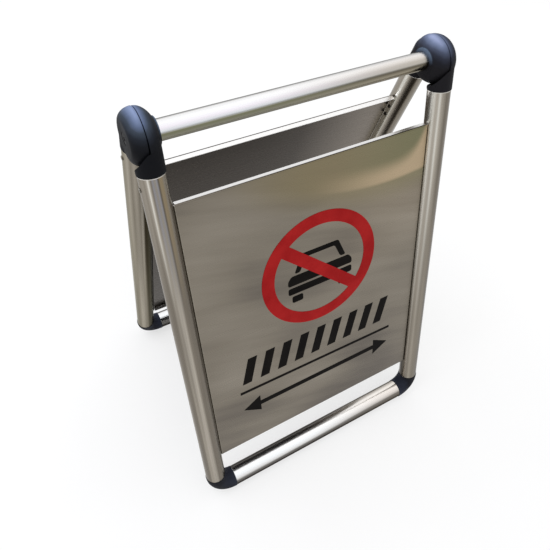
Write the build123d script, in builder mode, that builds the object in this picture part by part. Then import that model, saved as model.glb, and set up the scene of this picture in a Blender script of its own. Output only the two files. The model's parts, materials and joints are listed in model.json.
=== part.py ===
from build123d import *
import math
import os

os.makedirs("parts", exist_ok=True)

# A folding floor sign. Two tube frames with sheet panels hinge on a line along X at the top.
# X runs along the hinge, the front frame stands towards -Y, Z is up and the floor is z = 0.

# Overall form of the open sign
leg_spacing = 358.0        # between the axes of a frame's two legs
leg_reach = 558.0          # hinge axis to bottom rail axis, measured down the leg
half_angle = 14.5          # lean of each frame from the vertical, degrees

# Tubes
tube_d = 28.0
tube_wall = 1.0
rail_d = 22.0
rail_wall = 1.0
tube_edge = 0.5            # rounding of the tube ends

# Clearances
fold_gap = 0.4             # between the two frames' collars when folded flat
crease_gap = 0.5           # between a knuckle half's rim and the other half's collar
parting_gap = 0.8          # between the two halves of a knuckle
running_gap = 0.05         # radial, where one piece turns on another
plug_gap = 0.1             # radial, spigot in tube and fixing in hole
panel_gap = 0.1            # panel flange to the side of the leg
stop_gap = 0.2             # stop peg to the walls of its slot
head_gap = 0.3             # radial, hinge screw head in its counterbore
thrust_gap = 0.1           # between faces that turn on each other

# Moulded collars and spigots
collar_step = 0.6          # collar surface above the tube surface
socket_lip = 2.5           # length of collar below the crease
spigot_length = 30.0
spigot_wall = 3.0
elbow_reach = 26.0         # lower corner to the end of leg and rail
collar_round = 0.6         # rounding of the collar rims and parting edges

# Knuckle halves
knuckle_r = 28.8           # radius of the knuckle's rim
knuckle_drop = 1.2         # middle of the rim below the hinge axis, down the leg
inner_depth = 18.0         # depth of the domed half along the hinge
rail_collar_wall = 3.6
rail_collar_lip = 0.8      # rail collar beyond the dome's flat nose
rail_seat = 8.0            # parting plane to the rail's end
end_step = 0.2             # outer half's flat end beyond the collar
end_face_r = 18.6          # flat of the outer half's end
stop_r = 20.0              # hinge axis to the stop peg
stop_d = 5.0
stop_depth = 2.5

# Hinge screw, nut and washer
hinge_d = 6.0
hinge_head_d = 12.0
hinge_head_h = 3.2
hinge_head_sink = 0.3      # head below the outer half's end face
hinge_hex = 4.0
hinge_hex_depth = 2.4
nut_flats = 10.0
nut_h = 5.0
nut_seat = 5.0             # parting plane to the nut
washer_d = 18.0
screw_end = 1.5            # thread beyond the nut

# Panels
panel_out = 3.0            # outer face beyond the plane of the leg axes
panel_top = 74.0           # hinge axis to the panel's top edge, down the leg
panel_lift = 65.5          # bottom rail axis up to the panel's bottom edge
panel_sheet = 0.8
panel_flange = 7.5
panel_bend = 1.8           # outside radius of the folds
panel_notch = 2.4          # open corner between two flanges

# Rivets through flange and leg
rivet_d = 3.2
rivet_head_d = 5.0
rivet_head_h = 1.2
rivet_tail_d = 4.4
rivet_tail_h = 4.0
rivet_in = 1.5             # rivet line behind the plane of the leg axes
rivet_margin = 18.0        # panel end to the nearest rivet
rivet_pitch = 14.5

# Screws through leg and knuckle spigot
leg_screw_d = 3.0
leg_screw_head_d = 5.2
leg_screw_head_h = 0.9
leg_screw_length = 4.5     # thread below the head
leg_screw_drop = 15.0      # leg's top end to the screw

# Values that follow from the ones above
tube_r = tube_d / 2
collar_r = tube_r + collar_step
spigot_r = tube_r - tube_wall - plug_gap
leg_offset = collar_r + fold_gap / 2
sweep_r = knuckle_r + knuckle_drop + crease_gap
leg_start = sweep_r + socket_lip
leg_length = leg_reach - elbow_reach - leg_start
half = leg_spacing / 2
rail_r = rail_d / 2
rail_bore_r = rail_r + running_gap
rail_collar_r = rail_bore_r + rail_collar_wall
nose_r = rail_collar_r - knuckle_drop
nose_depth = inner_depth * math.sqrt(1 - (nose_r / knuckle_r) ** 2)
rail_collar_end = nose_depth + rail_collar_lip
outer_end = collar_r + end_step
parting = parting_gap / 2
panel_w = leg_spacing - tube_d - 2 * panel_gap
panel_bottom = leg_reach - panel_lift
panel_h = panel_bottom - panel_top
lean = math.radians(half_angle)
hinge_z = collar_r + leg_reach * math.cos(lean) - leg_offset * math.sin(lean)
rivet_drops = [
    panel_top + rivet_margin,
    panel_top + rivet_margin + rivet_pitch,
    panel_bottom - rivet_margin - rivet_pitch,
    panel_bottom - rivet_margin,
]

# Each frame's own plane on the hinge axis: x along the hinge, y up the legs, z outwards.
# The rear frame is the front frame turned half a turn about the vertical.
stop_arc = CenterArc((0, 0), stop_r, -half_angle, 2 * half_angle)
hinge_point = (0, 0, hinge_z)
front = Plane(hinge_point, x_dir=(1, 0, 0), z_dir=(0, -math.cos(lean), math.sin(lean)))
rear = Plane(hinge_point, x_dir=(-1, 0, 0), z_dir=(0, math.cos(lean), math.sin(lean)))


def spot(frame, x, drop, out):
    """Point given across the frame, down the leg and outwards."""
    return frame.from_local_coords(Vector(x, -drop, out))


def down_leg(frame, x, drop):
    """Plane across a leg's axis, looking down the leg."""
    return Plane(spot(frame, x, drop, leg_offset), x_dir=frame.x_dir, z_dir=-frame.y_dir)


def across(frame, x, drop=0.0, out=0.0, sense=1):
    """Plane across the hinge direction, with its own x up the leg."""
    return Plane(spot(frame, x, drop, out), x_dir=frame.y_dir, z_dir=frame.x_dir * sense)


def rim_section(frame, x):
    """Plane through the middle of a knuckle's rim, with its own x along the hinge and y up the leg."""
    return Plane(spot(frame, x, knuckle_drop, 0), x_dir=frame.x_dir, z_dir=frame.z_dir)


def rim_axis(frame):
    """Line through the middle of a knuckle's rim, along the hinge."""
    return Axis(spot(frame, 0, knuckle_drop, 0), frame.x_dir)


def save(built, label):
    """Name a finished piece and write it out."""
    built.part.label = label
    export_step(built.part, "parts/" + label + ".step")


def make_leg(frame, side, label):
    """Straight leg tube with its screw hole and rivet holes."""
    x = side * half
    with BuildPart() as leg:
        with BuildSketch(down_leg(frame, x, leg_start)):
            Circle(tube_r)
            Circle(tube_r - tube_wall, mode=Mode.SUBTRACT)
        extrude(amount=leg_length)
        fillet(leg.edges().filter_by(GeomType.CIRCLE).group_by(SortBy.RADIUS)[-1], tube_edge)
        with BuildSketch(across(frame, x, leg_start + leg_screw_drop, leg_offset, side)):
            Circle(leg_screw_d / 2 + plug_gap)
        extrude(amount=tube_d, mode=Mode.SUBTRACT)
        for drop in rivet_drops:
            with BuildSketch(across(frame, x, drop, leg_offset - rivet_in, -side)):
                Circle(rivet_d / 2 + plug_gap)
            extrude(amount=tube_d, mode=Mode.SUBTRACT)
    save(leg, label)


def make_bottom_rail(frame, label):
    """Level tube between the two lower corners."""
    with BuildPart() as bottom_rail:
        with BuildSketch(across(frame, elbow_reach - half, leg_reach, leg_offset)):
            Circle(tube_r)
            Circle(tube_r - tube_wall, mode=Mode.SUBTRACT)
        extrude(amount=leg_spacing - 2 * elbow_reach)
        fillet(bottom_rail.edges().filter_by(GeomType.CIRCLE).group_by(SortBy.RADIUS)[-1], tube_edge)
    save(bottom_rail, label)


def make_elbow(frame, side, label):
    """Quarter bend with a hollow spigot at each end."""
    bend_point = spot(frame, side * (half - elbow_reach), leg_reach - elbow_reach, leg_offset)
    bend_axis = Axis(bend_point, frame.z_dir * side)
    rail_end = across(frame, side * (half - elbow_reach), leg_reach, leg_offset, -side)
    leg_end = down_leg(frame, side * half, leg_reach - elbow_reach)
    bore_r = spigot_r - spigot_wall
    with BuildPart() as elbow:
        with BuildSketch(rail_end):
            Circle(collar_r)
        revolve(axis=bend_axis, revolution_arc=90)
        fillet(elbow.edges().filter_by(GeomType.CIRCLE).filter_by(lambda e: e.is_closed), collar_round)
        with BuildSketch(rail_end):
            Circle(spigot_r)
        extrude(amount=spigot_length)
        with BuildSketch(leg_end):
            Circle(spigot_r)
        extrude(amount=-spigot_length)
        with BuildSketch(rail_end):
            Circle(bore_r)
        revolve(axis=bend_axis, revolution_arc=90, mode=Mode.SUBTRACT)
        with BuildSketch(rail_end):
            Circle(bore_r)
        extrude(amount=spigot_length, mode=Mode.SUBTRACT)
        with BuildSketch(leg_end):
            Circle(bore_r)
        extrude(amount=-spigot_length, mode=Mode.SUBTRACT)
    save(elbow, label)


def make_panel(frame, label):
    """Sheet tray with its four edges folded inwards."""
    middle = (panel_top + panel_bottom) / 2
    face = Plane(
        spot(frame, 0, middle, leg_offset + panel_out), x_dir=frame.x_dir, z_dir=frame.z_dir
    )
    with BuildPart() as panel:
        with BuildSketch(face):
            Rectangle(panel_w, panel_h)
        extrude(amount=-panel_flange)
        outer_face = panel.faces().sort_by(Axis(face.origin, face.z_dir))[-1]
        fillet(outer_face.edges(), panel_bend)
        open_side = panel.faces().sort_by(Axis(face.origin, face.z_dir))[0]
        offset(amount=-panel_sheet, openings=open_side)
        with BuildSketch(face.offset(-panel_bend)):
            with GridLocations(panel_w, panel_h, 2, 2):
                Rectangle(2 * panel_notch, 2 * panel_notch)
        extrude(amount=-panel_flange, mode=Mode.SUBTRACT)
        for side in (-1, 1):
            for drop in rivet_drops:
                with BuildSketch(across(frame, 0, drop, leg_offset - rivet_in, side)):
                    Circle(rivet_d / 2 + plug_gap)
                extrude(amount=panel_w, mode=Mode.SUBTRACT)
    save(panel, label)


def make_rivets(frame, label):
    """Domed rivets from inside the tray through flange and leg wall."""
    tail_edge = rivet_in + rivet_tail_d / 2
    wall_at_tail = math.sqrt((tube_r - tube_wall) ** 2 - tail_edge**2)
    tail_start = tube_r + panel_gap + panel_sheet + plug_gap - wall_at_tail
    with BuildPart() as rivet:
        with BuildSketch():
            Circle(rivet_head_d / 2)
        extrude(amount=-rivet_head_h)
        fillet(rivet.faces().sort_by(Axis.Z)[0].edges(), rivet_head_h * 0.8)
        with BuildSketch():
            Circle(rivet_d / 2)
        extrude(amount=tail_start)
        with BuildSketch(Plane.XY.offset(tail_start)):
            Circle(rivet_tail_d / 2)
        extrude(amount=rivet_tail_h)
    inside = panel_w / 2 - panel_sheet
    places = [
        across(frame, side * inside, drop, leg_offset - rivet_in, side).location
        for side in (-1, 1)
        for drop in rivet_drops
    ]
    with BuildPart() as rivets:
        with Locations(*places):
            add(rivet.part)
    save(rivets, label)


def make_leg_screws(frame, label):
    """Pan-head screws through the outer side of each leg into the knuckle's spigot."""
    with BuildPart() as leg_screw:
        with BuildSketch():
            Circle(leg_screw_head_d / 2)
        extrude(amount=leg_screw_head_h)
        fillet(leg_screw.faces().sort_by(Axis.Z)[-1].edges(), leg_screw_head_h * 0.6)
        with BuildSketch():
            Circle(leg_screw_d / 2)
        extrude(amount=-leg_screw_length)
        with BuildSketch(Plane.XY.offset(leg_screw_head_h)):
            Rectangle(leg_screw_head_d * 0.5, leg_screw_head_d * 0.12)
            Rectangle(leg_screw_head_d * 0.12, leg_screw_head_d * 0.5)
        extrude(amount=-leg_screw_head_h * 0.6, mode=Mode.SUBTRACT)
    drop = leg_start + leg_screw_drop
    places = [
        across(frame, side * (half + tube_r), drop, leg_offset, side).location for side in (-1, 1)
    ]
    with BuildPart() as leg_screws:
        with Locations(*places):
            add(leg_screw.part)
    save(leg_screws, label)


def make_half(frame, side, label):
    """One half of a knuckle, with the socket of the frame's leg on that side.

    The half lies towards the frame's +x from the leg axis: at the frame's first side that is
    the inner half with the rail collar, at the other it is the outer half with the flat end.
    """
    x = side * half
    with BuildPart() as knuckle_half:
        # Collar with a round top
        with BuildSketch(down_leg(frame, x, 0)):
            Circle(collar_r)
        extrude(amount=leg_start)
        rim = knuckle_half.faces().sort_by(Axis(frame.origin, -frame.y_dir))[-1]
        fillet(rim.edges(), collar_round)
        with Locations(spot(frame, x, 0, leg_offset)):
            Sphere(collar_r)
        # Room for the other half to turn in
        with BuildSketch(across(frame, x + parting)):
            Circle(sweep_r)
        extrude(amount=-2 * collar_r, mode=Mode.SUBTRACT)
        # Body turned about the middle of its rim
        with BuildSketch(rim_section(frame, x)) as body:
            if side < 0:
                low = math.degrees(math.asin(nose_r / knuckle_r))
                sweep = math.degrees(math.acos(parting / inner_depth)) - low
                with BuildLine():
                    dome = EllipticalCenterArc((0, 0), inner_depth, knuckle_r, low, arc_size=sweep)
                    Polyline(dome @ 0, (nose_depth, 0), (parting, 0), dome @ 1)
                make_face()
            else:
                centre = (parting, end_face_r)
                with BuildLine():
                    shell = EllipticalCenterArc(
                        centre, outer_end - parting, knuckle_r - end_face_r, arc_size=90
                    )
                    Polyline(shell @ 0, (outer_end, 0), (parting, 0), shell @ 1)
                make_face()
            fillet(body.vertices().sort_by(Axis.Y)[-1], collar_round)
        revolve(axis=rim_axis(frame))
        if side < 0:
            # Collar round the rail's end, on the hinge axis
            with BuildSketch(across(frame, x + parting)):
                Circle(rail_collar_r)
            extrude(amount=rail_collar_end - parting)
            mouth = knuckle_half.faces().sort_by(Axis(frame.origin, frame.x_dir))[-1]
            fillet(mouth.edges(), collar_round)
        # Hollow spigot inside the leg, with its screw hole
        with BuildSketch(down_leg(frame, x, leg_start)):
            Circle(spigot_r)
            Circle(spigot_r - spigot_wall, mode=Mode.SUBTRACT)
        extrude(amount=spigot_length)
        with BuildSketch(across(frame, x, leg_start + leg_screw_drop, leg_offset, side)):
            Circle(leg_screw_d / 2 + plug_gap)
        extrude(amount=tube_d, mode=Mode.SUBTRACT)
        if side < 0:
            # Rail bore, nut pocket, screw hole and stop slot
            with BuildSketch(across(frame, x + rail_seat)):
                Circle(rail_bore_r)
            extrude(amount=rail_collar_end, mode=Mode.SUBTRACT)
            with BuildSketch(across(frame, x + nut_seat)):
                RegularPolygon(nut_flats / 2 + plug_gap, 6, major_radius=False)
            extrude(amount=rail_collar_end, mode=Mode.SUBTRACT)
            with BuildSketch(across(frame, x)):
                Circle(hinge_d / 2 + plug_gap)
            extrude(amount=rail_collar_end, mode=Mode.SUBTRACT)
            with BuildSketch(across(frame, x + parting)):
                SlotArc(stop_arc, stop_d + 2 * stop_gap)
            extrude(amount=stop_depth + stop_gap, mode=Mode.SUBTRACT)
        else:
            # Running bore, counterbore for the screw head and stop peg
            with BuildSketch(across(frame, x)):
                Circle(hinge_d / 2 + running_gap)
            extrude(amount=2 * outer_end, mode=Mode.SUBTRACT)
            with BuildSketch(across(frame, x + outer_end)):
                Circle(hinge_head_d / 2 + head_gap)
            extrude(amount=-(hinge_head_h + hinge_head_sink + thrust_gap), mode=Mode.SUBTRACT)
            with BuildSketch(across(frame, x + parting)):
                with Locations((stop_r * math.cos(lean), stop_r * math.sin(lean))):
                    Circle(stop_d / 2)
            extrude(amount=-(parting_gap + stop_depth))
    save(knuckle_half, label)


def make_hinge_screw(frame, label):
    """Low-head screw from the other frame's outer half into this frame's inner half."""
    start = across(frame, hinge_head_sink - outer_end - half)
    with BuildPart() as hinge_screw:
        with BuildSketch(start):
            Circle(hinge_head_d / 2)
        extrude(amount=hinge_head_h)
        with BuildSketch(start):
            Circle(hinge_d / 2)
        extrude(amount=outer_end - hinge_head_sink + nut_seat + nut_h + screw_end)
        with BuildSketch(start):
            RegularPolygon(hinge_hex / 2, 6, major_radius=False)
        extrude(amount=hinge_hex_depth, mode=Mode.SUBTRACT)
    save(hinge_screw, label)


def make_hinge_nut(frame, label):
    """Six-sided nut in the inner half's pocket."""
    with BuildPart() as hinge_nut:
        with BuildSketch(across(frame, nut_seat - half)):
            RegularPolygon(nut_flats / 2, 6, major_radius=False)
            Circle(hinge_d / 2 + plug_gap, mode=Mode.SUBTRACT)
        extrude(amount=nut_h)
    save(hinge_nut, label)


def make_hinge_washer(frame, label):
    """Thrust washer in the parting gap, lying on the inner half."""
    with BuildPart() as hinge_washer:
        with BuildSketch(across(frame, parting - half)):
            Circle(washer_d / 2)
            Circle(hinge_d / 2 + plug_gap, mode=Mode.SUBTRACT)
        extrude(amount=-(parting_gap - thrust_gap))
    save(hinge_washer, label)


def make_top_rail(frame, label):
    """Handle tube on the hinge axis between the two inner halves."""
    rail_start = rail_seat + plug_gap
    with BuildPart() as top_rail:
        with BuildSketch(across(frame, rail_start - half)):
            Circle(rail_r)
            Circle(rail_r - rail_wall, mode=Mode.SUBTRACT)
        extrude(amount=leg_spacing - 2 * rail_start)
    save(top_rail, label)


# The two frames, each with the side names of its first and second leg
for frame, name, first, second in ((front, "front", "left", "right"), (rear, "rear", "right", "left")):
    make_leg(frame, -1, name + "_" + first + "_leg")
    make_leg(frame, 1, name + "_" + second + "_leg")
    make_bottom_rail(frame, name + "_bottom_rail")
    make_elbow(frame, -1, name + "_" + first + "_elbow")
    make_elbow(frame, 1, name + "_" + second + "_elbow")
    make_panel(frame, name + "_panel")
    make_rivets(frame, name + "_panel_rivets")
    make_leg_screws(frame, name + "_leg_screws")
    make_half(frame, -1, first + "_inner_knuckle")
    make_half(frame, 1, second + "_outer_knuckle")
    make_hinge_screw(frame, first + "_hinge_screw")
    make_hinge_nut(frame, first + "_hinge_nut")
    make_hinge_washer(frame, first + "_hinge_washer")

make_top_rail(front, "top_rail")
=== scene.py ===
"""Studio scene of a folding floor sign: steel tube frames, sheet panels and black mouldings."""

import json
import logging
import math
from dataclasses import dataclass, field
from enum import Enum
from typing import Any, Iterable, List, Mapping, Optional, Sequence, Tuple, Union

import bmesh
import bpy
from bmesh.types import BMesh, BMFace, BMVert
from bpy.types import Material, Node, NodeSocket as Socket, NodeTree as Tree, Object
from mathutils import Euler, Matrix, Vector


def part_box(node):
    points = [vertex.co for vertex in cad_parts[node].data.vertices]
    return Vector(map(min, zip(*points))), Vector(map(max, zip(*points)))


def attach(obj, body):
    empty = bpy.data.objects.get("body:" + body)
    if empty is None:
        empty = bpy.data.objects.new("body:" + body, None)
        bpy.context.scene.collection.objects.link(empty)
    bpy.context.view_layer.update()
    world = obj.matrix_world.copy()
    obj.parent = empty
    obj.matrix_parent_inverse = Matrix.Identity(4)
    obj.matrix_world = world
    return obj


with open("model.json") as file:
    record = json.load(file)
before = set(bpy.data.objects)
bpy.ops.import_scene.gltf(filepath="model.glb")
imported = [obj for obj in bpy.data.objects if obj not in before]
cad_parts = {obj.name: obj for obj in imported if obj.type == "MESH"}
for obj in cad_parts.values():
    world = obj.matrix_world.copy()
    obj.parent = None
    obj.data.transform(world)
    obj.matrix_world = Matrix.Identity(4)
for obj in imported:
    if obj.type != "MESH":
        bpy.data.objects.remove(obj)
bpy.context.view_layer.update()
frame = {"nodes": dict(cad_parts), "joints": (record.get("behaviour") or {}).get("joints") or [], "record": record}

Pair = Tuple[float, float]
Triple = Tuple[float, float, float]
Colour = Tuple[float, float, float, float]
Tones = Sequence[Tuple[float, str]]
Source = Union[Node, Socket]

LOG = logging.getLogger("sign")
MM = 0.001
IMAGE_PIXELS = 550

# Limits that most of a blotch pattern lies between, taken wide and narrow
WIDE: Pair = (0.3, 0.7)
NARROW: Pair = (0.35, 0.65)

# Colour inputs of a Mix node, which share their names with its other inputs
MIX_SHARE, MIX_FROM, MIX_TO = 0, 6, 7

# Edges that turn by more degrees than this stay sharp
SHARP_DEG = 30.0


def box_mm(node: str) -> Tuple[Vector, Vector]:
    """Middle and size of a solid's box in millimetres."""
    lowest, highest = (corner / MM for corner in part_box(node))
    return (lowest + highest) / 2, highest - lowest


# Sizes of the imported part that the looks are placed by, in millimetres and radians
FOLD = frame["joints"][0]
FACE = next(mount for mount in frame["record"]["mounts"] if mount["name"] == "front_panel_face")
HINGE_MIDDLE: Triple = tuple(FOLD["pos_m"])
HINGE_HEIGHT = HINGE_MIDDLE[2] / MM
LEAN = math.radians(FOLD["range_deg"][1]) / 2
LEG_X = box_mm("front_right_leg")[0].x
FOOT = box_mm("rear_bottom_rail")[0]
LEG_OFFSET = FOOT.y * math.cos(LEAN) + (FOOT.z - HINGE_HEIGHT) * math.sin(LEAN)
PANEL_WIDTH = box_mm("front_panel")[1].x
PANEL_FACE = (Vector(FACE["pos_m"]) - Vector(HINGE_MIDDLE)).dot(Vector(FACE["axis"])) / MM

# Drops of the panels' edges from the hinge line, along the legs, and rise of the knuckles over it
PANEL_TOP = 74.0
PANEL_BOTTOM = 492.5
KNUCKLE_RISE = 27.5


class Side(Enum):
    """The two tube frames of the sign, each with its half turn about the vertical."""

    FRONT = ("front", 0.0)
    REAR = ("rear", math.pi)

    @property
    def label(self) -> str:
        """Name of the frame in piece names."""
        return self.value[0]

    @property
    def body(self) -> str:
        """CAD body that the frame's pieces ride on."""
        return f"{self.value[0]}_frame"

    @property
    def euler(self) -> Triple:
        """Turn from the row frame to the frame's own axes: x across, y inwards, z up the legs."""
        return (-LEAN, 0.0, self.value[1])

    @property
    def lean(self) -> float:
        """Lean of the legs about the x axis."""
        return -LEAN if self is Side.FRONT else LEAN

    def leg_axis(self, across: float) -> Triple:
        """Point of a leg's axis square to the hinge line, in millimetres."""
        out = LEG_OFFSET * math.cos(LEAN)
        return (across, -out if self is Side.FRONT else out, HINGE_HEIGHT + LEG_OFFSET * math.sin(LEAN))

    def face_matrix(self) -> Matrix:
        """Matrix from print millimetres to metres on the panel's outer face.

        Returns:
            A matrix whose x runs to the reader's right, y up the panel and z outwards,
            with its origin level with the hinge line.
        """
        turn = Euler(self.euler).to_matrix().to_4x4()
        lay_flat = Matrix(((1, 0, 0, 0), (0, 0, -1, 0), (0, 1, 0, 0), (0, 0, 0, 1)))
        out = Matrix.Translation((0, 0, PANEL_FACE))
        return Matrix.Translation(HINGE_MIDDLE) @ turn @ Matrix.Scale(MM, 4) @ lay_flat @ out


def linear(hex_colour: str) -> Colour:
    """Turn an sRGB hex colour into linear light.

    Args:
        hex_colour: six hex digits after a hash.

    Returns:
        Red, green, blue and an alpha of 1.
    """
    parts = [int(hex_colour[i:i + 2], 16) / 255 for i in (1, 3, 5)]
    low = [p / 12.92 if p <= 0.04045 else ((p + 0.055) / 1.055) ** 2.4 for p in parts]
    return (low[0], low[1], low[2], 1.0)


def join(tree: Tree, node: Node, inputs: Mapping[Any, Any]) -> None:
    """Set a node's inputs.

    Args:
        tree: node tree of the node.
        node: node to set.
        inputs: input socket names or indices, each with its fixed value or with what feeds it, which
            is an output or a node that stands for its first output in use.
    """
    for key, source in inputs.items():
        if isinstance(source, Node):
            source = next(output for output in source.outputs if output.enabled)
        if isinstance(source, Socket):
            tree.links.new(source, node.inputs[key])
        else:
            node.inputs[key].default_value = source


def add_node(
    tree: Tree, kind: str, inputs: Optional[Mapping[Any, Any]] = None, stops: Tones = (), **attrs: Any,
) -> Node:
    """Add one node with its settings and links.

    Args:
        tree: node tree to add to.
        kind: name of a shader node's type, without its prefix.
        inputs: fixed values and sources of its inputs, as join takes them.
        stops: positions and hex colours of a ramp, in order.
        attrs: node attributes to set.

    Returns:
        The new node.
    """
    node = tree.nodes.new(f"ShaderNode{kind}")
    for i, (position, colour) in enumerate(stops):
        elements = node.color_ramp.elements
        element = elements[i] if i < len(elements) else elements.new(position)
        element.position, element.color = position, linear(colour)
    for key, value in attrs.items():
        setattr(node, key, value)
    join(tree, node, inputs or {})
    return node


@dataclass(frozen=True)
class Finish:
    """A surface finish that becomes one material."""

    name: str

    def begin(self) -> Tuple[Material, Tree, Node, Socket]:
        """Start an empty material.

        Returns:
            The material, its tree, its surface shader and Object coordinates.
        """
        material = bpy.data.materials.new(self.name)
        material.use_nodes = True
        tree = material.node_tree
        tree.nodes.clear()
        shader = add_node(tree, "BsdfPrincipled")
        add_node(tree, "OutputMaterial", {"Surface": shader})
        return material, tree, shader, add_node(tree, "TexCoord").outputs["Object"]

    def pattern(
        self,
        tree: Tree,
        place: Source,
        size_mm: Triple,
        turn: Triple = (0.0, 0.0, 0.0),
        detail: float = 2.0,
        roughness: float = 0.5,
        unit: float = MM,
    ) -> Node:
        """Add a blotch or streak pattern of a real size.

        Args:
            tree: node tree to add to.
            place: coordinates to lay the pattern in.
            size_mm: size of one blotch along the pattern's x, y and z.
            turn: turn of the pattern's axes.
            detail: octaves of finer blotches.
            roughness: share of the finer octaves.
            unit: length of one millimetre in those coordinates.

        Returns:
            The pattern.
        """
        mapping = add_node(
            tree, "Mapping", {"Vector": place, "Rotation": turn, "Scale": [s * unit for s in size_mm]},
            vector_type="TEXTURE",
        )
        return add_node(
            tree, "TexNoise", {"Vector": mapping, "Scale": 1.0, "Detail": detail, "Roughness": roughness},
        )

    def surface(
        self,
        tree: Tree,
        shader: Node,
        tone: Source,
        polish: Source,
        roughness: Pair,
        relief: Source,
        depth_mm: float,
        others: Mapping[str, Any],
    ) -> None:
        """Join colour, gloss and relief to the shader.

        Args:
            tree: node tree to add to.
            shader: surface shader.
            tone: base colour.
            polish: pattern that varies the gloss.
            roughness: roughness where the pattern is low and high.
            relief: pattern that raises the surface.
            depth_mm: height of the relief.
            others: the shader's other inputs, as join takes them.
        """
        gloss = add_node(tree, "MapRange", {
            "Value": polish, "From Min": WIDE[0], "From Max": WIDE[1],
            "To Min": roughness[0], "To Max": roughness[1],
        })
        bump = add_node(tree, "Bump", {"Height": relief, "Distance": depth_mm * MM})
        join(tree, shader, {"Base Color": tone, "Roughness": gloss, "Normal": bump, **others})


class Steel(Enum):
    """Tones of the painted reflections on satin stainless tube, from a painted glint to a dark streak, with a blue
    grey and a straw tone.
    """

    GLINT = "#d6d3ca"
    PALE = "#a69f94"
    SATIN = "#928b80"
    DULL = "#837c71"
    GREY = "#756e64"
    SHADE = "#5b544a"
    DARK = "#221a12"
    BLUED = "#8f8e92"
    STRAWED = "#8c7e66"


Streaks = Tuple[Tuple[float, Steel], ...]


def steel_tones(streaks: Streaks) -> Tones:
    """Look up the hex colours of streaks."""
    return tuple((degrees, tone.value) for degrees, tone in streaks)


@dataclass(frozen=True)
class RoundTube(Finish):
    """Round stainless tube. Its colour carries painted reflections: light and dark bands round it,
    which change from its head to its tail, with finer polishing lines between them."""

    centre_mm: Triple
    turn: Triple
    head: Tones
    tail: Tones
    span_mm: Pair = (-93.0, -452.0)
    band_mm: Triple = (8.0, 8.0, 240.0)
    sway: float = 0.2
    unevenness: float = 0.19
    edge: str = "#ffffff"
    roughness: Pair = (0.2, 0.32)
    # Real polishing lines of 0.2 mm are too fine to show, so they are drawn at 1.4 mm
    line_mm: Triple = (1.4, 1.4, 260.0)
    line_share: float = 0.3
    line_depth_mm: float = 0.0015
    half_swing: float = 0.25

    def build(self) -> Material:
        """Make the material.

        Returns:
            Metal whose tone runs round the tube in bands, with finer polishing lines along it.
        """
        material, tree, shader, place = self.begin()
        centre = [c * MM for c in self.centre_mm]
        own = add_node(
            tree, "Mapping",
            {"Vector": place, "Location": centre, "Rotation": self.turn, "Scale": (MM, MM, MM)},
            vector_type="TEXTURE",
        )
        parts = add_node(tree, "SeparateXYZ", {0: own})
        along = parts.outputs["Z"]
        broad = self.pattern(tree, own, self.band_mm, detail=2.5, unit=1.0)
        lines = self.pattern(tree, own, self.line_mm, detail=1.0, unit=1.0)
        # The light and dark bands round the tube are painted reflections, laid into the colour by the angle round
        # it
        share = self.angle(tree, parts, broad)
        near, far = (
            add_node(
                tree, "ValToRGB", {"Fac": share},
                [((degrees + 180) / 360, colour) for degrees, colour in tones],
            )
            for tones in (self.head, self.tail)
        )
        passed = add_node(
            tree, "MapRange", {"Value": along, "From Min": self.span_mm[1], "From Max": self.span_mm[0]},
            interpolation_type="SMOOTHSTEP",
        )
        changing = add_node(tree, "Mix", {MIX_SHARE: passed, MIX_FROM: far, MIX_TO: near}, data_type="RGBA")
        mixed = add_node(tree, "Math", {0: lines, 1: self.line_share, 2: broad}, operation="MULTIPLY_ADD")
        middle = (1 + self.line_share) / 2
        drawn = add_node(tree, "MapRange", {
            "Value": mixed, "From Min": middle - self.half_swing, "From Max": middle + self.half_swing,
            "To Min": 1 - self.unevenness, "To Max": 1 + self.unevenness,
        })
        streaked = add_node(tree, "VectorMath", {0: changing, "Scale": drawn}, operation="SCALE")
        ended = self.ends(tree, place, along, streaked)
        self.surface(
            tree, shader, ended, lines, self.roughness, lines, self.line_depth_mm,
            {"Metallic": 1.0, "Specular Tint": linear(self.edge)},
        )
        return material

    def angle(self, tree: Tree, parts: Node, wander: Source) -> Node:
        """Add the angle round the tube from the side that faces the reader.

        Args:
            tree: node tree to add to.
            parts: own coordinates, taken apart.
            wander: pattern that lets the bands wander.

        Returns:
            The angle, as a share of a full turn that starts at the far side.
        """
        toward = add_node(tree, "Math", {0: parts.outputs["Y"], 1: -1.0}, operation="MULTIPLY")
        turned = add_node(tree, "Math", {0: parts.outputs["X"], 1: toward}, operation="ARCTAN2")
        swayed = add_node(tree, "Math", {0: wander, 1: self.sway, 2: turned}, operation="MULTIPLY_ADD")
        return add_node(tree, "MapRange", {
            "Value": swayed, "From Min": self.sway / 2 - math.pi, "From Max": self.sway / 2 + math.pi,
        })

    def ends(self, tree: Tree, place: Socket, along: Socket, tone: Node) -> Node:
        """Leave the ends as the rest of the tube."""
        return tone


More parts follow.
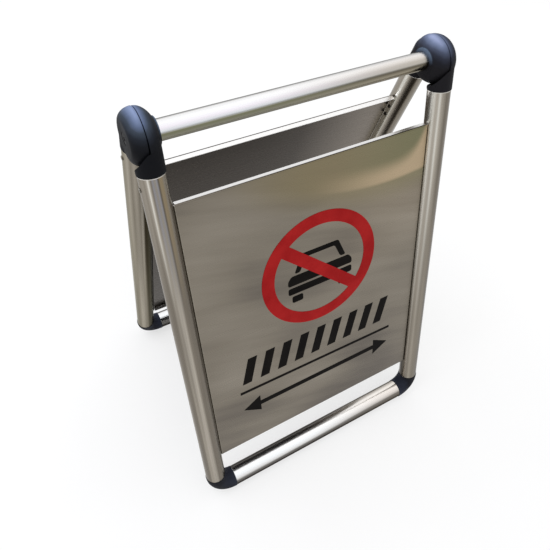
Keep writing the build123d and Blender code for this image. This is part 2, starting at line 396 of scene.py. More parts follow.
@dataclass(frozen=True)
class LegTube(RoundTube):
    """Satin stainless leg tube with long light and dark streaks of painted reflection, among them a blue grey
    and a straw band near the top of one, and painted highlights on its deburred ends."""

    # Painted highlights on the ends: their colour, the ends' drops from the hinge line, the widths and blur of the
    # lit rims, their least share and the size of the patches that vary them
    rim: str = "#dedbd5"
    ends_mm: Pair = (33.0, 532.0)
    rims_mm: Pair = (1.2, 0.72)
    rim_blur_mm: float = 0.6
    rim_least: float = 0.65
    worn_mm: float = 7.0

    def ends(self, tree: Tree, place: Socket, along: Socket, tone: Node) -> Node:
        """Add painted highlights on the deburred ends, here and there.

        Args:
            tree: node tree to add to.
            place: Object coordinates.
            along: millimetres up from the hinge line.
            tone: colour of the tube.

        Returns:
            The colour with its painted highlights on the ends.
        """
        top_rim = -self.ends_mm[0] - self.rims_mm[0]
        foot_rim = -self.ends_mm[1] + self.rims_mm[1]
        upper, lower = (
            add_node(tree, "MapRange", {"Value": along, "From Min": rim, "From Max": rim + blur})
            for rim, blur in ((top_rim, self.rim_blur_mm), (foot_rim, -self.rim_blur_mm))
        )
        rims = add_node(tree, "Math", {0: upper, 1: lower}, operation="MAXIMUM")
        rim_shine = self.pattern(tree, place, (self.worn_mm,) * 3)
        caught = add_node(
            tree, "MapRange",
            {"Value": rim_shine, "From Min": NARROW[0], "From Max": NARROW[1], "To Min": self.rim_least},
        )
        # The painted highlight on the rims, in patches
        glint = add_node(tree, "Math", {0: rims, 1: caught}, operation="MULTIPLY")
        return add_node(
            tree, "Mix", {MIX_SHARE: glint, MIX_FROM: tone, MIX_TO: linear(self.rim)}, data_type="RGBA",
        )


@dataclass(frozen=True)
class LegLook:
    """Painted reflection streaks round one leg at its top and its foot, by degrees to the right of the side
    that faces the reader, the span over which they change and the tone of its edges."""

    top: Streaks
    foot: Streaks
    span_mm: Pair
    edge: str


# The tones by their bare names, for the long table that follows
GLINT, PALE, SATIN, DULL, GREY, SHADE, DARK, BLUED, STRAWED = Steel

# Painted reflections on each leg, as light and dark streaks of tone round it
LEG_LOOKS: Mapping[Tuple[Side, str], LegLook] = {
    (Side.FRONT, "left"): LegLook(
        (
            (-180, GREY), (-100, SHADE), (-76, DULL), (-60, SATIN), (-48, DULL), (-40, PALE),
            (-34, GLINT), (-28, PALE), (-22, GREY), (-16, BLUED), (-8, SATIN), (0, BLUED), (7, SHADE),
            (13, STRAWED), (22, STRAWED), (31, DULL), (50, DULL), (62, GREY), (110, DULL), (180, GREY),
        ),
        (
            (-180, GREY), (-100, GREY), (-46, GREY), (-36, SATIN), (-28, SATIN), (-20, PALE), (-6, PALE),
            (5, GREY), (38, GREY), (50, SHADE), (62, GREY), (110, DULL), (180, GREY),
        ),
        (-40.0, -220.0), "#f3f1ee",
    ),
    (Side.FRONT, "right"): LegLook(
        (
            (-180, GREY), (-120, PALE), (-85, GLINT), (-66, GLINT), (-52, PALE), (-45, PALE),
            (-36, GLINT), (-25, PALE), (-12, SATIN), (-3, GREY), (20, GREY), (60, SHADE), (110, SATIN),
            (180, GREY),
        ),
        (
            (-180, GREY), (-112, SHADE), (-95, DARK), (-84, SHADE), (-73, DULL), (-65, PALE), (-55, DULL),
            (-36, SATIN), (-22, DULL), (0, DULL), (16, SHADE), (60, SHADE), (110, SATIN), (180, GREY),
        ),
        (-70.0, -430.0), "#ffffff",
    ),
    (Side.REAR, "left"): LegLook(
        (
            (-180, DULL), (-100, DULL), (-76, SATIN), (-58, PALE), (-44, DULL), (-26, SATIN), (-14, DULL),
            (-6, PALE), (0, SATIN), (6, DARK), (75, DARK), (112, SHADE), (180, DULL),
        ),
        (
            (-180, DULL), (-100, DULL), (-66, DULL), (-46, SATIN), (-36, PALE), (-22, PALE), (-12, SATIN),
            (-4, SATIN), (6, SHADE), (13, DARK), (75, DARK), (112, SHADE), (180, DULL),
        ),
        (-93.0, -452.0), "#d6d4ca",
    ),
    (Side.REAR, "right"): LegLook(
        (
            (-180, DULL), (-112, DULL), (-90, SATIN), (-82, GLINT), (-73, GLINT), (-65, PALE),
            (-56, SATIN), (-46, GREY), (-38, SHADE), (-28, SHADE), (-17, DULL), (180, DULL),
        ),
        (
            (-180, DULL), (-85, GLINT), (-45, GLINT), (-10, SATIN), (180, DULL),
        ),
        (-93.0, -452.0), "#ffffff",
    ),
}


# Tones round the rails at the left and right, by degrees up from the side that faces the reader. They are painted
# reflections: bright on the upper side, darker below and in narrow bands
GRIP_LEFT: Tones = (
    (-180, "#7f7d71"), (-20, "#89877a"), (4, "#73735f"), (12, "#75755d"), (17, "#a3a29a"), (24, "#e8ecf0"),
    (42, "#f4eff7"), (60, "#f8f8fb"), (92, "#fbfbfb"), (104, "#c0c0c0"), (112, "#5c5c5c"), (180, "#7f7d71"),
)
GRIP_RIGHT: Tones = (
    (-180, "#7f7d71"), (-20, "#8a8374"), (-4, "#938b7b"), (6, "#7d7667"), (14, "#5e574b"), (19, "#7d776b"),
    (27, "#c6c0b7"), (44, "#c3bcb3"), (60, "#ddd7d0"), (80, "#f2eeeb"), (100, "#dcdcdc"), (114, "#8a8a8a"),
    (180, "#7f7d71"),
)
FLOOR_RAIL_LEFT: Tones = (
    (-180, "#6a6866"), (-30, "#413f3d"), (5, "#43413f"), (15, "#5c5a58"), (30, "#73706d"), (35, "#a09e9c"),
    (41, "#efeeed"), (60, "#f5f8fa"), (109, "#ffffff"), (115, "#a29f9d"), (124, "#6a6866"), (135, "#5a5856"),
    (180, "#6a6866"),
)
FLOOR_RAIL_RIGHT: Tones = (
    (-180, "#6a6866"), (5, "#55524d"), (15, "#68645d"), (36, "#7a746e"), (46, "#c4bdb6"), (56, "#ded7d1"),
    (90, "#fcf5ee"), (106, "#f6f0e8"), (122, "#ded7cf"), (138, "#86827b"), (180, "#6a6866"),
)


@dataclass(frozen=True)
class RailTube(RoundTube):
    """Mirror-polished level tube whose colour carries painted reflections, bright on top and darker underneath."""

    turn: Triple = (0.0, -math.pi / 2, 0.0)
    head: Tones = GRIP_LEFT
    tail: Tones = GRIP_RIGHT
    span_mm: Pair = (90.0, -150.0)
    band_mm: Triple = (9.0, 9.0, 140.0)
    sway: float = 0.16
    unevenness: float = 0.04
    edge: str = "#cfcdca"
    roughness: Pair = (0.16, 0.24)


@dataclass(frozen=True)
class HeatTint:
    """Painted reflections tinting a sheet: olive along its top, and a straw band that arches over
    its right half and turns up at the edge. Each mask gives the places between which it grows and
    its most. Places are millimetres to the right of the middle, or up from the arch."""

    olive: Tuple[str, str] = ("#82775b", "#6f6f4e")
    straw: str = "#b29e82"
    crown_x: float = 115.0
    crown_drop: float = 127.0
    arch_mm: float = 770.0
    hook_x: float = 165.0
    hook_rise: float = 50.0
    hook_doubling_mm: float = 9.0
    olive_across: Triple = (-150.0, 0.0, 0.75)
    olive_rise: Triple = (-45.0, 5.0, 1.0)
    greener_across: Triple = (30.0, 160.0, 1.0)
    band_foot: Triple = (-12.0, -4.0, 1.0)
    band_top: Triple = (24.0, 0.0, 1.0)
    trail_rise: Triple = (-150.0, -10.0, 0.18)
    straw_across: Triple = (-20.0, 125.0, 0.9)

    def add(self, tree: Tree, tone: Node, across: Socket, height: Socket) -> Node:
        """Paint the reflection tints into the colour of a sheet.

        Args:
            tree: node tree to add to.
            tone: colour of the untinted sheet.
            across: millimetres to the right of the middle.
            height: millimetres up from the hinge line.

        Returns:
            The tinted colour.
        """
        from_crown = add_node(tree, "Math", {0: across, 1: self.crown_x}, operation="SUBTRACT")
        squared = add_node(tree, "Math", {0: from_crown, 1: 2.0}, operation="POWER")
        lifted = add_node(
            tree, "Math", {0: squared, 1: -1 / self.arch_mm, 2: height}, operation="MULTIPLY_ADD",
        )
        above = add_node(tree, "Math", {0: lifted, 1: self.crown_drop}, operation="ADD")
        bend = add_node(
            tree, "Math",
            {0: across, 1: 1 / self.hook_doubling_mm, 2: -self.hook_x / self.hook_doubling_mm},
            operation="MULTIPLY_ADD",
        )
        hook = add_node(tree, "Math", {0: 2.0, 1: bend}, operation="POWER")
        past_hook = add_node(tree, "Math", {0: hook, 1: -self.hook_rise, 2: above}, operation="MULTIPLY_ADD")
        olive_side, olive_top, corner, under, over, trail, fade = (
            add_node(
                tree, "MapRange", {"Value": source, "From Min": start, "From Max": end, "To Max": most},
                interpolation_type=growth,
            )
            for growth, (start, end, most), source in (
                ("SMOOTHSTEP", self.olive_across, across),
                ("SMOOTHSTEP", self.olive_rise, above),
                ("LINEAR", self.greener_across, across),
                ("SMOOTHSTEP", self.band_foot, above),
                ("SMOOTHSTEP", self.band_top, past_hook),
                ("LINEAR", self.trail_rise, above),
                ("SMOOTHSTEP", self.straw_across, across),
            )
        )
        olive_share = add_node(tree, "Math", {0: olive_side, 1: olive_top}, operation="MULTIPLY")
        greener = add_node(
            tree, "Mix", {MIX_SHARE: corner, MIX_FROM: linear(self.olive[0]), MIX_TO: linear(self.olive[1])},
            data_type="RGBA",
        )
        olive = add_node(
            tree, "Mix", {MIX_SHARE: olive_share, MIX_FROM: tone, MIX_TO: greener}, data_type="RGBA",
        )
        warmed = add_node(tree, "Math", {0: under, 1: trail}, operation="MAXIMUM")
        past_top = add_node(tree, "Math", {0: warmed, 1: over}, operation="MULTIPLY")
        share = add_node(tree, "Math", {0: past_top, 1: fade}, operation="MULTIPLY")
        return add_node(
            tree, "Mix", {MIX_SHARE: share, MIX_FROM: olive, MIX_TO: linear(self.straw)}, data_type="RGBA",
        )


@dataclass(frozen=True)
class FoldedSheet(Finish):
    """Satin stainless sheet, folded at its edges, with soft level streaks on the outer face. Painted into its
    colour: a reflection that darkens the outer face towards its foot, bright reflections on the top and bottom
    folds, side folds light on one side and dark on the other, side edges of the face partly in those colours, and
    shade on the inner face, lighter towards one side."""

    side: Side
    tones: Tones = ((0.2, "#645e57"), (0.5, "#7c756a"), (0.8, "#8b8479"))
    # Painted shade on the inner face, lighter towards one side as a painted reflection; painted reflections on the
    # top and bottom folds, and light and dark painted side folds
    inner_tones: Tones = ((0.0, "#7d756c"), (0.4, "#433d37"), (1.0, "#433d37"))
    level_fold: str = "#fcfbfa"
    side_folds: Tuple[str, str] = ("#d8d4c6", "#433d37")
    tint: HeatTint = HeatTint()
    streak_tilt: Triple = (0.0, 0.26, 0.0)
    smear_mm: Triple = (240.0, 30.0, 26.0)
    smear_share: float = 0.6
    cloud_mm: Triple = (150.0, 60.0, 90.0)
    # Real rolling lines of 0.1 mm are too fine to show, so they are drawn at 2 mm
    line_mm: Triple = (140.0, 2.0, 2.0)
    line_depth_mm: float = 0.0005
    roughness: Pair = (0.26, 0.31)
    # Shifts of the tone at the very foot, where it is darkest, and from this height up: a painted reflection,
    # darker towards the foot
    foot_mm: float = 110.0
    foot_shift: Pair = (-0.5, -0.26)
    # Depths behind the outer face at which the inner face and the folds begin and are full
    inner_mm: Pair = (0.62, 0.7)
    fold_mm: Pair = (1.9, 2.2)
    # Widths of the edges at the sides and at the top and foot, and how far the former are painted towards the side
    # folds' colours, as painted light over the shade of the gaps
    side_edge_mm: float = 1.4
    level_edge_mm: float = 0.9
    edge_shine: float = 0.25

    def build(self) -> Material:
        """Make the material.

        Returns:
            Metal with soft level streaks outside, painted bright reflections on the folds and painted shade on the
            inner face.
        """
        material, tree, shader, place = self.begin()
        own = add_node(
            tree, "Mapping",
            {"Vector": place, "Location": HINGE_MIDDLE, "Rotation": self.side.euler, "Scale": (MM, MM, MM)},
            vector_type="TEXTURE",
        )
        parts = add_node(tree, "SeparateXYZ", {0: own})
        across, inward, height = (parts.outputs[n] for n in "XYZ")
        smear = self.pattern(tree, own, self.smear_mm, self.streak_tilt, detail=3.0, roughness=0.55, unit=1.0)
        cloud = self.pattern(tree, own, self.cloud_mm, self.streak_tilt, detail=1.0, unit=1.0)
        soft = add_node(tree, "Math", {0: smear, 1: self.smear_share, 2: cloud}, operation="MULTIPLY_ADD")
        rise = add_node(tree, "MapRange", {
            "Value": height, "From Min": -PANEL_BOTTOM, "From Max": -PANEL_BOTTOM + self.foot_mm,
            "To Min": self.foot_shift[0], "To Max": self.foot_shift[1],
        })
        sunk = add_node(tree, "Math", {0: soft, 1: rise}, operation="ADD")
        tone = add_node(tree, "ValToRGB", {"Fac": sunk}, self.tones)
        # Painted reflection tints on the outer face
        outer = self.tint.add(tree, tone, across, height)
        spread = add_node(
            tree, "MapRange", {"Value": across, "From Min": -PANEL_WIDTH / 2, "From Max": PANEL_WIDTH / 2},
        )
        inner = add_node(tree, "ValToRGB", {"Fac": spread}, self.inner_tones)
        behind, flange = (
            add_node(
                tree, "MapRange",
                {"Value": inward, "From Min": begin - PANEL_FACE, "From Max": full - PANEL_FACE},
            )
            for begin, full in (self.inner_mm, self.fold_mm)
        )
        backed = add_node(tree, "Mix", {MIX_SHARE: behind, MIX_FROM: outer, MIX_TO: inner}, data_type="RGBA")
        # The side edges of the face are painted partly in the side folds' colours, as painted light over the gaps'
        # shade
        off_edge = add_node(
            tree, "Math", {0: across, 1: 0.0, 2: PANEL_WIDTH / 2 - self.side_edge_mm}, operation="COMPARE",
        )
        at_edge = add_node(
            tree, "Math", {0: off_edge, 1: -self.edge_shine, 2: self.edge_shine}, operation="MULTIPLY_ADD",
        )
        folded = add_node(tree, "Math", {0: flange, 1: at_edge}, operation="MAXIMUM")
        half_height = (PANEL_BOTTOM - PANEL_TOP) / 2
        at_sides = add_node(
            tree, "Math", {0: height, 1: half_height - PANEL_BOTTOM, 2: half_height - self.level_edge_mm},
            operation="COMPARE",
        )
        # Painted folds: bright reflections at top and bottom, light and dark at the sides
        left_fold, right_fold = (linear(colour) for colour in self.side_folds)
        side_fold = add_node(
            tree, "Mix", {MIX_SHARE: spread, MIX_FROM: left_fold, MIX_TO: right_fold}, data_type="RGBA",
        )
        fold = add_node(
            tree, "Mix", {MIX_SHARE: at_sides, MIX_FROM: linear(self.level_fold), MIX_TO: side_fold},
            data_type="RGBA",
        )
        blend = add_node(tree, "Mix", {MIX_SHARE: folded, MIX_FROM: backed, MIX_TO: fold}, data_type="RGBA")
        lines = self.pattern(tree, place, self.line_mm, self.side.euler)
        self.surface(
            tree, shader, blend, lines, self.roughness, lines, self.line_depth_mm, {"Metallic": 1.0},
        )
        return material


# Tones of the knuckles by distance from their painted highlight spot, as a share of its reach
HIGHLIGHT_TONES_LEFT: Tones = (
    (0.0, "#8594b7"), (0.21, "#5b6883"), (0.36, "#3b434f"), (0.55, "#22262e"),
    (0.75, "#16181d"), (1.0, "#0f1014"),
)
HIGHLIGHT_TONES_RIGHT: Tones = (
    (0.0, "#a8b2d6"), (0.21, "#6e7995"), (0.38, "#464d60"), (0.55, "#2d303c"),
    (0.75, "#1e1f26"), (1.0, "#1b1a1d"),
)

# Place of each knuckle's painted highlight spot along the hinge line, and its tones
KNUCKLE_LOOKS: Mapping[str, Tuple[float, Tones]] = {
    "left": (-LEG_X - 3.0, HIGHLIGHT_TONES_LEFT),
    "right": (LEG_X - 7.0, HIGHLIGHT_TONES_RIGHT),
}

# The elbows are painted with a bluer highlight on the side of the rail, by distance from its middle as a share of
# the reach
ELBOW_HIGHLIGHT_TONES: Tones = ((0.5, "#2e323f"), (0.62, "#17181e"))
ELBOW_HIGHLIGHT_REACH = 300.0


@dataclass(frozen=True)
class MouldedBlack(Finish):
    """Black nylon moulding with the fine satin grain of a spark-eroded mould, with a painted highlight:
    paler and bluer round one spot."""

    spot_mm: Pair
    tones: Tones
    reach_mm: float = 28.0
    roughness: Pair = (0.55, 0.68)
    cloud_mm: float = 16.0
    patchiness: float = 0.16
    # A real grain of 0.1 mm is too fine to show, so it is drawn at 0.8 mm
    grain_mm: float = 0.8
    grain_depth_mm: float = 0.006
    ior: float = 1.53
    specular: float = 0.07

    def build(self) -> Material:
        """Make the material.

        Returns:
            Satin plastic with a fine grain and a painted highlight round its spot.
        """
        material, tree, shader, place = self.begin()
        across, height = self.spot_mm
        reach = self.reach_mm * MM
        # Painted highlight: the tone lightens towards the spot, with patchy edges
        from_spot = add_node(
            tree, "Mapping",
            {"Vector": place, "Location": (across * MM, 0.0, height * MM), "Scale": (reach, 1.0, reach)},
            vector_type="TEXTURE",
        )
        distance = add_node(tree, "VectorMath", {0: from_spot}, operation="LENGTH")
        cloud = self.pattern(tree, place, (self.cloud_mm,) * 3, detail=3.0)
        patchy = add_node(
            tree, "Math", {0: cloud, 1: self.patchiness, 2: -self.patchiness / 2}, operation="MULTIPLY_ADD",
        )
        highlight_distance = add_node(tree, "Math", {0: distance, 1: patchy}, operation="ADD")
        tone = add_node(tree, "ValToRGB", {"Fac": highlight_distance}, self.tones)
        rim_shine = self.rubbed(tree, place, tone)
        grain = self.pattern(tree, place, (self.grain_mm,) * 3, detail=1.0)
        self.surface(
            tree, shader, rim_shine, cloud, self.roughness, grain, self.grain_depth_mm,
            {"IOR": self.ior, "Specular IOR Level": self.specular},
        )
        return material

    def rubbed(self, tree: Tree, place: Socket, tone: Node) -> Node:
        """Leave the moulding without a painted rim highlight."""
        return tone


@dataclass(frozen=True)
class KnuckleBlack(MouldedBlack):
    """Black nylon knuckle with a painted highlight in paler blue grey on top of its rim round the rail."""

    # Painted highlight on the rim: its colour, where it begins and is full along the hinge line, its rise and its
    # most
    rim: str = "#6a7b92"
    rim_mm: Pair = (LEG_X - 14.6, LEG_X - 15.7)
    rim_rise_mm: float = 14.0
    rim_most: float = 0.65

    def rubbed(self, tree: Tree, place: Socket, tone: Node) -> Node:
        """Add the painted highlight on the rim.

        Args:
            tree: node tree to add to.
            place: Object coordinates.
            tone: colour of the moulding.

        Returns:
            The colour with its painted rim highlight.
        """
        parts = add_node(tree, "SeparateXYZ", {0: place})
        outward = add_node(tree, "Math", {0: parts.outputs["X"]}, operation="ABSOLUTE")
        near_rail, on_top = (
            add_node(
                tree, "MapRange",
                {"Value": source, "From Min": begin * MM, "From Max": full * MM, "To Max": most},
                interpolation_type="SMOOTHSTEP",
            )
            for (begin, full), most, source in (
                (self.rim_mm, 1.0, outward),
                ((HINGE_HEIGHT, HINGE_HEIGHT + self.rim_rise_mm), self.rim_most, parts.outputs["Z"]),
            )
        )
        share = add_node(tree, "Math", {0: near_rail, 1: on_top}, operation="MULTIPLY")
        return add_node(
            tree, "Mix", {MIX_SHARE: share, MIX_FROM: tone, MIX_TO: linear(self.rim)}, data_type="RGBA",
        )


@dataclass(frozen=True)
class Blotched(Finish):
    """A surface of one colour, blotched a little lighter and darker, with a fine grain."""

    dark: str
    light: str
    roughness: Pair = (0.35, 0.5)
    metallic: float = 0.0
    specular: float = 0.5
    blotch_mm: float = 2.5
    blotch_detail: float = 2.0
    grain_mm: float = 0.5
    grain_depth_mm: float = 0.004

    def build(self) -> Material:
        """Make the material.

        Returns:
            A surface with blotches of tone.
        """
        material, tree, shader, place = self.begin()
        blotch = self.pattern(tree, place, (self.blotch_mm,) * 3, detail=self.blotch_detail)
        tone = add_node(tree, "ValToRGB", {"Fac": blotch}, tuple(zip(NARROW, (self.dark, self.light))))
        grain = self.pattern(tree, place, (self.grain_mm,) * 3, detail=1.0)
        self.surface(
            tree, shader, tone, blotch, self.roughness, grain, self.grain_depth_mm,
            {"Metallic": self.metallic, "Specular IOR Level": self.specular},
        )
        return material


@dataclass(frozen=True)
class SmallSteel(Blotched):
    """Small steel fixings, blackened, plated or dull, with a little unevenness of tone."""

    metallic: float = 1.0


# Finishes of the small fixings by the endings of their names. The hinge screws are coated black.
SMALL_STEELS: Tuple[Tuple[Tuple[str, ...], SmallSteel], ...] = (
    (("_hinge_screw",), SmallSteel("black_coated_screw_steel", "#08080a", "#0f0f12", (0.5, 0.65), 0.0, 0.1)),
    (("_rivets",), SmallSteel("dark_rivet_steel", "#2c2924", "#3d3933")),
    (("_leg_screws",), SmallSteel("dull_screw_steel", "#7d786f", "#8f8a80")),
    (("_hinge_nut", "_hinge_washer"), SmallSteel("bright_zinc_steel", "#8d8f92", "#a9abad", (0.28, 0.4))),
)


@dataclass(frozen=True)
class VinylFilm(Blotched):
    """Cut vinyl film on the panels, slightly glossy, with a faint orange peel."""

    roughness: Pair = (0.3, 0.42)
    specular: float = 0.02
    blotch_mm: float = 30.0
    blotch_detail: float = 3.0
    grain_mm: float = 1.6


@dataclass(frozen=True)
class PaperFloor(Finish):
    """Pale matt paper floor with a very faint mottle. Seen directly or in a reflection it is partly
    lit from within, so that it is white and keeps a faint shadow."""

    low: str = "#fbfbfb"
    high: str = "#fefefe"
    glow: float = 0.65
    roughness: Pair = (0.85, 0.95)
    cloud_mm: float = 400.0
    fibre_mm: float = 1.5
    fibre_depth_mm: float = 0.01

    def build(self) -> Material:
        """Make the material.

        Returns:
            Matt paper.
        """
        material, tree, shader, place = self.begin()
        cloud = self.pattern(tree, place, (self.cloud_mm,) * 3)
        tone = add_node(tree, "ValToRGB", {"Fac": cloud}, tuple(zip(WIDE, (self.low, self.high))))
        ray = add_node(tree, "LightPath")
        seen = ray.outputs["Is Camera Ray"]
        for kind in ("Is Glossy Ray", "Is Transmission Ray"):
            seen = add_node(tree, "Math", {0: seen, 1: ray.outputs[kind]}, operation="MAXIMUM")
        glow = add_node(tree, "Math", {0: seen, 1: self.glow}, operation="MULTIPLY")
        kept = add_node(tree, "Math", {0: 1.0, 1: glow}, operation="SUBTRACT")
        lit = add_node(tree, "VectorMath", {0: tone, "Scale": kept}, operation="SCALE")
        fibre = self.pattern(tree, place, (self.fibre_mm,) * 3)
        self.surface(
            tree, shader, lit, cloud, self.roughness, fibre, self.fibre_depth_mm,
            {"Emission Color": tone, "Emission Strength": glow},
        )
        return material


def finish_mesh(bm: BMesh, name: str, material: Material) -> Object:
    """Turn a bmesh into an object at the origin.

    Args:
        bm: mesh in metres, in place; it is freed.
        name: name of the piece.
        material: finish of the piece.

    Returns:
        The new object.
    """
    bmesh.ops.recalc_face_normals(bm, faces=bm.faces)
    mesh = bpy.data.meshes.new(name)
    bm.to_mesh(mesh)
    bm.free()
    mesh.materials.append(material)
    for polygon in mesh.polygons:
        polygon.use_smooth = True
    mesh.set_sharp_from_angle(angle=math.radians(SHARP_DEG))
    piece = bpy.data.objects.new(name, mesh)
    bpy.context.scene.collection.objects.link(piece)
    return piece


@dataclass
class PanelPrint:
    """Cut film figures on one panel: a prohibition ring over a car, stripes, a line and an arrow.
    Sizes are in millimetres, across from the panel's middle and up from the hinge line."""

    side: Side
    red: Material
    black: Material
    red_film: float = 0.3
    black_film: float = 0.15
    ring_centre: Pair = (6.2, -227.8)
    ring_outer: float = 84.3
    ring_width: float = 17.4
    ring_steps: int = 128
    # The slash laps the ring a little and is a little thinner, so that no faces coincide
    slash_tilt: float = -42.0
    slash_width: float = 17.2
    slash_lap: float = 0.3
    slash_film: float = 0.294
    car_corner: float = 2.6
    car_corner_steps: int = 4
    # Rows give their left end, right end and level
    stripe_row: Triple = (-119.0, 122.0, -351.0)
    stripe_count: int = 9
    stripe_height: float = 44.0
    stripe_shift: float = 11.88
    stripe_share: float = 0.5
    line_ends: Tuple[Pair, Pair] = ((-124.0, -388.3), (126.5, -393.4))
    line_width: float = 4.6
    arrow_row: Triple = (-122.0, 124.0, -423.0)
    arrow_head: float = 26.0
    arrow_half: float = 15.0
    arrow_shaft_half: float = 4.0

    def figure(self, bm: BMesh, outline: Iterable[Pair]) -> BMFace:
        """Add one flat figure by its corners."""
        return bm.faces.new([bm.verts.new((x, y, 0.0)) for x, y in outline])

    def bar(self, bm: BMesh, start: Vector, end: Vector, width: float) -> BMFace:
        """Add a straight flat bar between two points.

        Args:
            bm: mesh in print millimetres.
            start: middle of one end.
            end: middle of the other end.
            width: width of the bar.

        Returns:
            The face of the bar.
        """
        across = (end - start).normalized().orthogonal() * width / 2
        corners = (start - across, end - across, end + across, start + across)
        return self.figure(bm, [(c.x, c.y) for c in corners])

    def thicken(self, bm: BMesh, faces: Sequence[BMFace], thickness: float) -> None:
        """Give flat figures the thickness of their film.

        Args:
            bm: mesh in print millimetres.
            faces: flat figures.
            thickness: film thickness.
        """
        raised = bmesh.ops.extrude_face_region(bm, geom=faces)
        top = [v for v in raised["geom"] if isinstance(v, BMVert)]
        bmesh.ops.translate(bm, vec=(0, 0, thickness), verts=top)

    def place(self, bm: BMesh, name: str, material: Material, slot: str) -> None:
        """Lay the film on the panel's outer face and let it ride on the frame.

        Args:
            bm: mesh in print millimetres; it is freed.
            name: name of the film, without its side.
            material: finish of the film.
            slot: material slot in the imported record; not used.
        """
        bmesh.ops.transform(bm, matrix=self.side.face_matrix(), verts=bm.verts)
        piece = finish_mesh(bm, f"{self.side.label}_{name}", material)
        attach(piece, self.side.body)
        LOG.info("laid %s", piece.name)

    def make_red(self) -> None:
        """Cut the ring and its slash."""
        bm = bmesh.new()
        cx, cy = self.ring_centre
        outer, inner = self.ring_outer, self.ring_outer - self.ring_width
        section = [
            bm.verts.new((cx + r, cy, z))
            for r, z in ((inner, 0.0), (outer, 0.0), (outer, self.red_film), (inner, self.red_film))
        ]
        edges = [bm.edges.new(ends) for ends in zip(section, section[1:] + section[:1])]
        bmesh.ops.spin(
            bm, geom=[*section, *edges], cent=(cx, cy, 0), axis=(0, 0, 1), angle=2 * math.pi,
            steps=self.ring_steps, use_merge=True,
        )
        tilt = math.radians(self.slash_tilt)
        reach = Vector((math.cos(tilt), math.sin(tilt))) * (inner + self.slash_lap)
        middle = Vector((cx, cy))
        slash = self.bar(bm, middle - reach, middle + reach, self.slash_width)
        self.thicken(bm, [slash], self.slash_film)
        self.place(bm, "print_ring", self.red, "red_film")

    def make_black(self) -> None:
        """Cut the car, the stripes, the line and the arrow."""
        bm = bmesh.new()
        self.add_car(bm)
        left, right, level = self.stripe_row
        pitch = (right - left) / self.stripe_count
        width, shift = pitch * self.stripe_share, self.stripe_shift
        low, high = level - self.stripe_height / 2, level + self.stripe_height / 2
        for i in range(self.stripe_count):
            x = left + i * pitch
            self.figure(bm, ((x, low), (x + width, low), (x + width + shift, high), (x + shift, high)))
        start, end = (Vector(p) for p in self.line_ends)
        self.bar(bm, start, end, self.line_width)
        left, right, level = self.arrow_row
        head, half, shaft = self.arrow_head, self.arrow_half, self.arrow_shaft_half
        self.figure(bm, (
            (left, level), (left + head, level - half), (left + head, level - shaft),
            (right - head, level - shaft), (right - head, level - half), (right, level),
            (right - head, level + half), (right - head, level + shaft),
            (left + head, level + shaft), (left + head, level + half),
        ))
        self.thicken(bm, bm.faces[:], self.black_film)
        self.place(bm, "print_figures", self.black, "black_film")

    def add_car(self, bm: BMesh) -> None:
        """Cut a plain car seen from the front, of separate flat figures with rounded corners.

        Args:
            bm: empty mesh in print millimetres.
        """
        cx, cy = self.ring_centre
        figures = (
            ((-38, 7), (-27, 34), (27, 34), (38, 7), (30, 7), (21.5, 27), (-21.5, 27), (-30, 7)),
            ((-43, 4), (43, 4), (48, -3), (48, -11), (-48, -11), (-48, -3)),
            ((-48, -14.5), (48, -14.5), (48, -25), (-48, -25)),
            ((-43, -28.5), (-27, -28.5), (-27, -39), (-43, -39)),
            ((27, -28.5), (43, -28.5), (43, -39), (27, -39)),
        )
        for corners in figures:
            self.figure(bm, [(cx + x, cy + y) for x, y in corners])
        bmesh.ops.bevel(
            bm, geom=bm.verts[:], offset=self.car_corner, segments=self.car_corner_steps, profile=0.5,
            affect="VERTICES", clamp_overlap=True, material=-1,
        )

    def make(self) -> None:
        """Make both films."""
        self.make_red()
        self.make_black()


@dataclass(frozen=True)
class Softbox:
    """A rectangular soft light, with its place, aim and size in metres."""

    name: str = "top_left"
    spot_m: Triple = (-1.1, 0.5, 2.1)
    aim_m: Triple = (0.0, 0.0, 0.4)
    size_m: Pair = (1.3, 1.3)
    watts: float = 12.0
    colour: str = "#eef2ff"

    def hang(self) -> None:
        """Hang the light so that it faces its aim."""
        lamp = bpy.data.lights.new(self.name, "AREA")
        lamp.shape = "RECTANGLE"
        lamp.size, lamp.size_y = self.size_m
        lamp.energy = self.watts
        lamp.color = linear(self.colour)[:3]
        holder = bpy.data.objects.new(self.name, lamp)
        holder.location = self.spot_m
        holder.rotation_mode = "QUATERNION"
        holder.rotation_quaternion = (Vector(self.aim_m) - Vector(self.spot_m)).to_track_quat("-Z", "Y")
        bpy.context.scene.collection.objects.link(holder)
        LOG.info("hung %s", self.name)


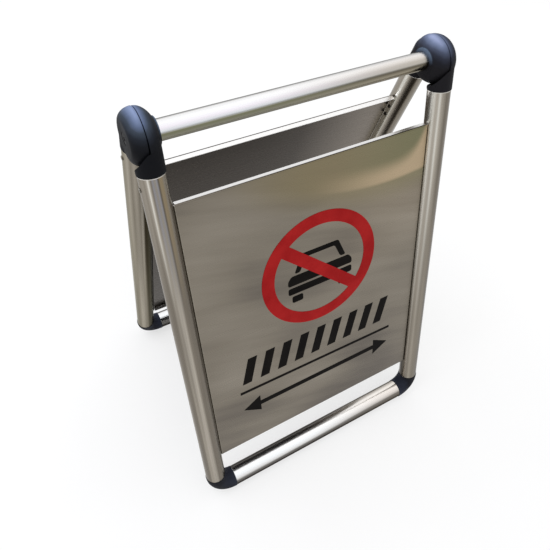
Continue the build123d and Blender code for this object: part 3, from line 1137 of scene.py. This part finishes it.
@dataclass
class Studio:
    """Floor, soft light and the camera at the photograph's angle."""

    floor_m: float = 14.0
    sky: Tones = ((0.0, "#c8c8c8"), (0.25, "#e5e5e5"), (1.0, "#ffffff"))
    sky_strength: float = 1.08
    softbox: Softbox = Softbox()
    camera_mm: Triple = (-282.7, -407.27, 867.72)
    target_mm: Triple = (48.61, 107.07, 220.89)
    roll: float = 0.0912
    focal_pixels: float = 541.3
    centre_row: float = 225.0
    sensor_mm: float = 36.0
    clip_m: Pair = (0.01, 100.0)

    def make_floor(self) -> None:
        """Lay the floor."""
        bm = bmesh.new()
        bmesh.ops.create_grid(bm, x_segments=1, y_segments=1, size=self.floor_m / 2)
        floor = finish_mesh(bm, "floor", PaperFloor("pale_paper_floor").build())
        LOG.info("laid %s", floor.name)

    def make_sky(self) -> None:
        """Fill the room with an even pale light that is brighter overhead."""
        world = bpy.data.worlds.new("studio")
        world.use_nodes = True
        bpy.context.scene.world = world
        tree = world.node_tree
        tree.nodes.clear()
        parts = add_node(tree, "SeparateXYZ", {0: add_node(tree, "TexCoord").outputs["Generated"]})
        tone = add_node(tree, "ValToRGB", {"Fac": parts.outputs["Z"]}, self.sky)
        light = add_node(tree, "Background", {"Color": tone, "Strength": self.sky_strength})
        add_node(tree, "OutputWorld", {"Surface": light})

    def make_camera(self) -> None:
        """Set the camera where the photograph was taken from."""
        data = bpy.data.cameras.new("camera")
        data.sensor_fit = "HORIZONTAL"
        data.sensor_width = self.sensor_mm
        data.lens = self.focal_pixels / IMAGE_PIXELS * self.sensor_mm
        data.shift_y = (self.centre_row - IMAGE_PIXELS / 2) / IMAGE_PIXELS
        data.clip_start, data.clip_end = self.clip_m
        spot, target = Vector(self.camera_mm) * MM, Vector(self.target_mm) * MM
        ahead = (target - spot).normalized()
        right = ahead.cross(Vector((0, 0, 1))).normalized()
        up = right.cross(ahead)
        turned_right = right * math.cos(self.roll) + up * math.sin(self.roll)
        turned_up = up * math.cos(self.roll) - right * math.sin(self.roll)
        facing = Matrix((turned_right, turned_up, -ahead)).transposed().to_4x4()
        camera = bpy.data.objects.new("camera", data)
        camera.matrix_world = Matrix.Translation(spot) @ facing
        bpy.context.scene.collection.objects.link(camera)
        bpy.context.scene.camera = camera

    def make(self) -> None:
        """Make floor, light and camera."""
        self.make_floor()
        self.make_sky()
        self.softbox.hang()
        self.make_camera()
        bpy.context.scene.view_settings.view_transform = "Standard"


@dataclass
class Frames:
    """The carried-over solids of the sign and their finishes."""

    nodes: Mapping[str, Object]
    floor_rail_span_mm: Pair = (50.0, -155.0)
    floor_rail_edge: str = "#9a9794"
    dressed: List[str] = field(default_factory=list)

    def dress(self, material: Material, names: Iterable[str]) -> None:
        """Give solids one finish.

        Args:
            material: finish to give.
            names: names of the solids.
        """
        for name in names:
            node = self.nodes[name]
            for slot in node.material_slots:
                slot.material = material
            self.dressed.append(name)
            LOG.info("dressed %s in %s", name, material.name)

    def ending(self, *endings: str) -> List[str]:
        """List the solids whose names have one of these endings."""
        return [name for name in self.nodes if name.endswith(endings)]

    def dress_frame(self, side: Side) -> None:
        """Give the tubes and the panel of one frame their finishes.

        Args:
            side: frame to dress.
        """
        for hand, axis_x in (("left", -LEG_X), ("right", LEG_X)):
            look = LEG_LOOKS[(side, hand)]
            leg = f"{side.label}_{hand}_leg"
            tube = LegTube(
                f"satin_stainless_{leg}", side.leg_axis(axis_x), (side.lean, 0.0, 0.0),
                steel_tones(look.top), steel_tones(look.foot), look.span_mm, edge=look.edge,
            )
            self.dress(tube.build(), [leg])
        sheet = FoldedSheet(f"satin_stainless_{side.label}_sheet", side)
        self.dress(sheet.build(), [f"{side.label}_panel"])
        floor_rail = f"{side.label}_bottom_rail"
        rail = RailTube(
            f"polished_stainless_{side.label}_rail", tuple(box_mm(floor_rail)[0]),
            head=FLOOR_RAIL_LEFT, tail=FLOOR_RAIL_RIGHT,
            span_mm=self.floor_rail_span_mm, edge=self.floor_rail_edge,
        )
        self.dress(rail.build(), [floor_rail])

    def dress_all(self) -> None:
        """Give every solid its finish."""
        for side in Side:
            self.dress_frame(side)
        self.dress(RailTube("polished_stainless_grip", (0.0, 0.0, HINGE_HEIGHT)).build(), ["top_rail"])
        for hand, (spot_x, tones) in KNUCKLE_LOOKS.items():
            spot = (spot_x, HINGE_HEIGHT + KNUCKLE_RISE)
            knuckle = KnuckleBlack(f"moulded_black_nylon_{hand}_knuckle", spot, tones)
            self.dress(knuckle.build(), [f"{hand}_{half}_knuckle" for half in ("inner", "outer")])
        elbow = MouldedBlack("moulded_black_nylon_elbows", (0.0, FOOT.z), ELBOW_HIGHLIGHT_TONES, ELBOW_HIGHLIGHT_REACH)
        self.dress(elbow.build(), self.ending("_elbow"))
        for endings, steel in SMALL_STEELS:
            self.dress(steel.build(), self.ending(*endings))
        missed = sorted(set(self.nodes) - set(self.dressed))
        if missed:
            LOG.warning("no finish for %s", missed)


def main() -> None:
    """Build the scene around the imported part."""
    logging.basicConfig(level=logging.INFO, format="%(name)s: %(message)s")
    Studio().make()
    Frames(frame["nodes"]).dress_all()
    red = VinylFilm("red_vinyl_film", "#93191a", "#a32121").build()
    black = VinylFilm("black_vinyl_film", "#0d0b0a", "#141210").build()
    for side in Side:
        PanelPrint(side, red, black).make()


if __name__ == "__main__":
    main()
